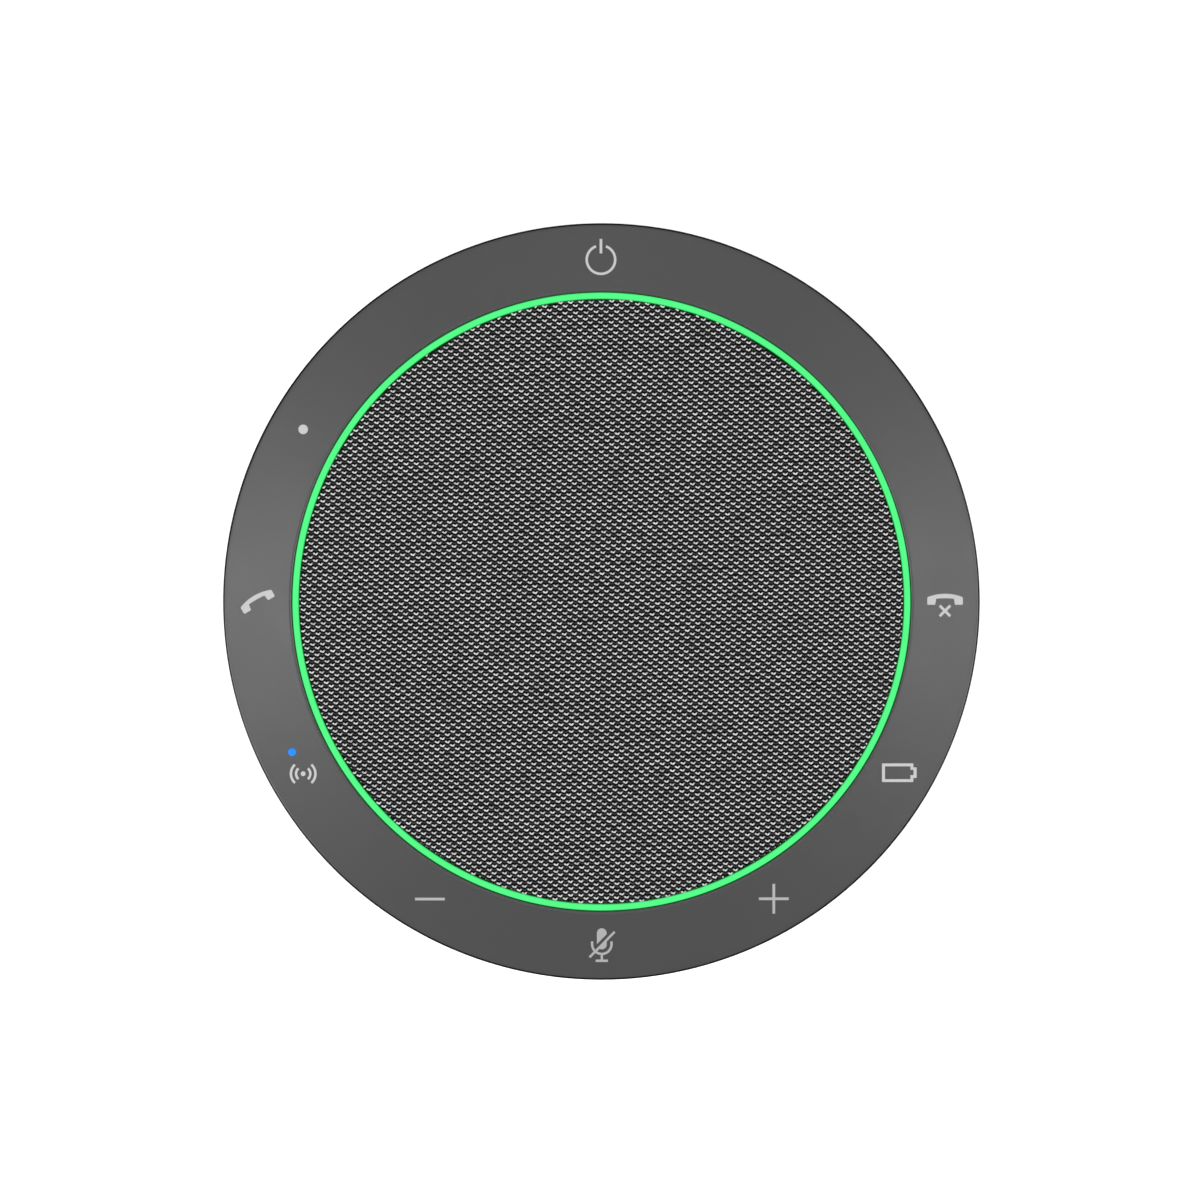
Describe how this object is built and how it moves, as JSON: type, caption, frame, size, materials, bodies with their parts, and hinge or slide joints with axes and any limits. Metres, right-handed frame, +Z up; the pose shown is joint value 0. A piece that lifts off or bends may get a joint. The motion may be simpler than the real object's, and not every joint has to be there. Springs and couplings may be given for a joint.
{
  "type": "conference speakerphone",
  "caption": "Round puck-shaped conference speakerphone with a knitted grille, a lit ring, a soft ring of touch-feel keys and a USB cable wound round its base.",
  "frame": {"origin": "centre of the face the phone stands on", "axes": "+Z up through the grille, +Y towards the power key, +X towards the hang-up key"},
  "size_m": [0.1324, 0.1324, 0.033],
  "materials": {
    "soft_touch": "satin soft-touch elastomer",
    "bezel_plastic": "moulded",
    "key_plastic": "moulded",
    "clear_plastic": "clear",
    "light_guide": "translucent, lit from below",
    "knit_fabric": "knitted",
    "black_plastic": "moulded",
    "housing_plastic": "fine spark texture",
    "black_rubber": "matt",
    "label_film": "printed film, blank",
    "cable_jacket": "satin",
    "bright_steel": "bright",
    "stamped_steel": "zinc and lacquer",
    "foam": "open cell",
    "magnet": "sintered ferrite",
    "copper_winding": "enamelled copper",
    "paper_cone": "pressed paper",
    "spider_cloth": "impregnated cloth",
    "circuit_board": "solder mask",
    "switch_body": "moulded",
    "led": "clear lens",
    "chip_plastic": "epoxy",
    "ribbon": "polyimide film",
    "lead_jacket": "wire jacket",
    "battery_wrap": "foil pouch",
    "screw_steel": "blackened"
  },
  "bodies": {
    "housing": {"ring_skin": "soft_touch", "top_bezel": "bezel_plastic", "light_ring": "light_guide", "grille_fabric": "knit_fabric", "grille_frame": "black_plastic", "side_housing": "housing_plastic", "speaker_deck": "black_plastic", "base_housing": "housing_plastic", "housing_seal": "black_rubber", "foot_ring": "black_rubber", "label_plate": "label_film", "usb_cable": "cable_jacket", "cable_grommet": "black_rubber", "cable_clamp": "black_plastic", "speaker_basket": "stamped_steel", "speaker_gasket": "foam", "speaker_yoke": "stamped_steel", "speaker_magnet": "magnet", "speaker_top_plate": "stamped_steel", "speaker_surround": "black_rubber", "speaker_spider": "spider_cloth", "ring_pcb": "circuit_board", "key_switches": "switch_body", "switch_domes": "bright_steel", "ring_leds": "led", "microphones": "bright_steel", "mic_boots": "black_rubber", "main_pcb": "circuit_board", "pcb_shield_can": "bright_steel", "pcb_components": "chip_plastic", "ribbon_cable": "ribbon", "internal_leads": "lead_jacket", "battery_pack": "battery_wrap", "battery_pad": "foam", "base_screws": "screw_steel", "deck_screws": "screw_steel", "bezel_screws": "screw_steel", "board_screws": "screw_steel", "speaker_screws": "screw_steel"},
    "key_hang_up": {"key_hang_up": "key_plastic"},
    "key_power": {"key_power": "key_plastic"},
    "key_shortcut": {"key_shortcut": "key_plastic"},
    "key_answer": {"key_answer": "key_plastic"},
    "key_pairing": {"key_pairing": "key_plastic", "pairing_light_pipe": "clear_plastic"},
    "key_volume_down": {"key_volume_down": "key_plastic"},
    "key_mute": {"key_mute": "key_plastic"},
    "key_volume_up": {"key_volume_up": "key_plastic"},
    "key_battery": {"key_battery": "key_plastic"},
    "speaker_diaphragm": {"speaker_cone": "paper_cone", "speaker_dust_cap": "paper_cone", "voice_coil": "copper_winding"},
    "usb_plug": {"usb_plug_grip": "cable_jacket", "usb_plug_shell": "bright_steel", "usb_plug_core": "black_plastic"}
  },
  "joints": [
    {"name": "press_hang_up", "type": "slide", "parent": "housing", "child": "key_hang_up", "axis": [0, 0, -1], "range_m": [0, 0.00035], "stiffness_N_per_m": 260, "springref_m": -0.0006, "deforming": ["ring_skin", "switch_domes"]},
    {"name": "press_power", "type": "slide", "parent": "housing", "child": "key_power", "axis": [0, 0, -1], "range_m": [0, 0.00035], "stiffness_N_per_m": 260, "springref_m": -0.0006, "deforming": ["ring_skin", "switch_domes"]},
    {"name": "press_shortcut", "type": "slide", "parent": "housing", "child": "key_shortcut", "axis": [0, 0, -1], "range_m": [0, 0.00035], "stiffness_N_per_m": 260, "springref_m": -0.0006, "deforming": ["ring_skin", "switch_domes"]},
    {"name": "press_answer", "type": "slide", "parent": "housing", "child": "key_answer", "axis": [0, 0, -1], "range_m": [0, 0.00035], "stiffness_N_per_m": 260, "springref_m": -0.0006, "deforming": ["ring_skin", "switch_domes"]},
    {"name": "press_pairing", "type": "slide", "parent": "housing", "child": "key_pairing", "axis": [0, 0, -1], "range_m": [0, 0.00035], "stiffness_N_per_m": 260, "springref_m": -0.0006, "deforming": ["ring_skin", "switch_domes"]},
    {"name": "press_volume_down", "type": "slide", "parent": "housing", "child": "key_volume_down", "axis": [0, 0, -1], "range_m": [0, 0.00035], "stiffness_N_per_m": 260, "springref_m": -0.0006, "deforming": ["ring_skin", "switch_domes"]},
    {"name": "press_mute", "type": "slide", "parent": "housing", "child": "key_mute", "axis": [0, 0, -1], "range_m": [0, 0.00035], "stiffness_N_per_m": 260, "springref_m": -0.0006, "deforming": ["ring_skin", "switch_domes"]},
    {"name": "press_volume_up", "type": "slide", "parent": "housing", "child": "key_volume_up", "axis": [0, 0, -1], "range_m": [0, 0.00035], "stiffness_N_per_m": 260, "springref_m": -0.0006, "deforming": ["ring_skin", "switch_domes"]},
    {"name": "press_battery", "type": "slide", "parent": "housing", "child": "key_battery", "axis": [0, 0, -1], "range_m": [0, 0.00035], "stiffness_N_per_m": 260, "springref_m": -0.0006, "deforming": ["ring_skin", "switch_domes"]},
    {"name": "diaphragm_stroke", "type": "slide", "parent": "housing", "child": "speaker_diaphragm", "axis": [0, 0, 1], "range_m": [-0.001, 0.001], "stiffness_N_per_m": 900, "deforming": ["speaker_surround", "speaker_spider"]},
    {"name": "plug_swing", "type": "hinge", "parent": "housing", "child": "usb_plug", "pos_m": [0.0585, -0.0172, 0.0113], "axis": [0, 0, -1], "range_deg": [0, 40]}
  ]
}
